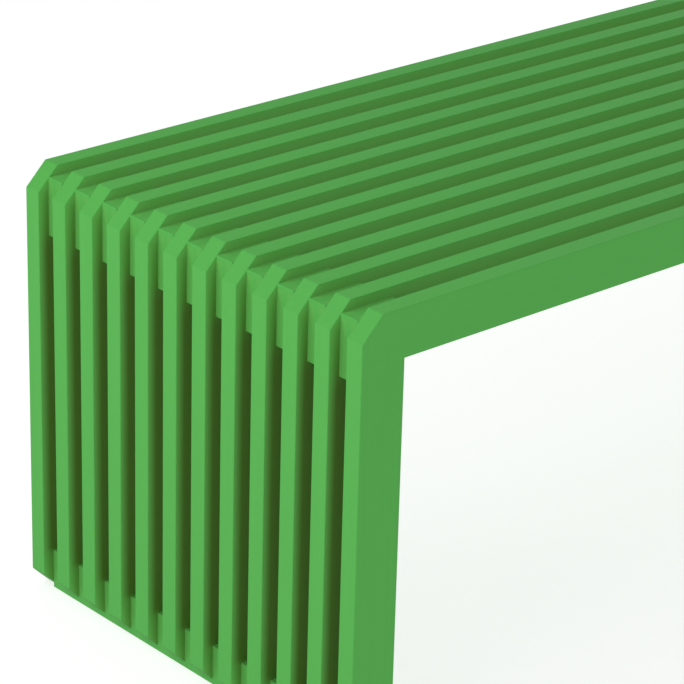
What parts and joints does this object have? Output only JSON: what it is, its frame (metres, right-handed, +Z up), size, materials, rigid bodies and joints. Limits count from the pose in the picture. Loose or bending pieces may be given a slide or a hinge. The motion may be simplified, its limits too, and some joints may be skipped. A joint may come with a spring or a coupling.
{
  "type": "backless bench",
  "caption": "Slatted backless bench in green painted wood: parallel mitred frames with cut corners, held apart by spacer blocks and tied by a foot rail at each end.",
  "frame": {"origin": "on the floor at the middle of the bench", "axes": "+X along the bench's length, +Y across its depth, +Z up"},
  "size_m": [1.4, 0.482, 0.45],
  "materials": {
    "green_paint": "satin opaque paint over wood",
    "bare_wood": "plain unfinished hardwood, hidden"
  },
  "bodies": {
    "root": {"seat_rail_01": "green_paint", "seat_rail_02": "green_paint", "seat_rail_03": "green_paint", "seat_rail_04": "green_paint", "seat_rail_05": "green_paint", "seat_rail_06": "green_paint", "seat_rail_07": "green_paint", "seat_rail_08": "green_paint", "seat_rail_09": "green_paint", "seat_rail_10": "green_paint", "seat_rail_11": "green_paint", "seat_rail_12": "green_paint", "left_leg_01": "green_paint", "left_leg_02": "green_paint", "left_leg_03": "green_paint", "left_leg_04": "green_paint", "left_leg_05": "green_paint", "left_leg_06": "green_paint", "left_leg_07": "green_paint", "left_leg_08": "green_paint", "left_leg_09": "green_paint", "left_leg_10": "green_paint", "left_leg_11": "green_paint", "left_leg_12": "green_paint", "right_leg_01": "green_paint", "right_leg_02": "green_paint", "right_leg_03": "green_paint", "right_leg_04": "green_paint", "right_leg_05": "green_paint", "right_leg_06": "green_paint", "right_leg_07": "green_paint", "right_leg_08": "green_paint", "right_leg_09": "green_paint", "right_leg_10": "green_paint", "right_leg_11": "green_paint", "right_leg_12": "green_paint", "corner_spacers_01": "green_paint", "corner_spacers_02": "green_paint", "corner_spacers_03": "green_paint", "corner_spacers_04": "green_paint", "corner_spacers_05": "green_paint", "corner_spacers_06": "green_paint", "corner_spacers_07": "green_paint", "corner_spacers_08": "green_paint", "corner_spacers_09": "green_paint", "corner_spacers_10": "green_paint", "corner_spacers_11": "green_paint", "left_foot_rail": "green_paint", "right_foot_rail": "green_paint", "left_mitre_splines": "bare_wood", "right_mitre_splines": "bare_wood", "left_corner_rods": "bare_wood", "right_corner_rods": "bare_wood", "left_leg_dowels": "bare_wood", "right_leg_dowels": "bare_wood", "left_end_dowels": "bare_wood", "right_end_dowels": "bare_wood"}
  },
  "joints": []
}
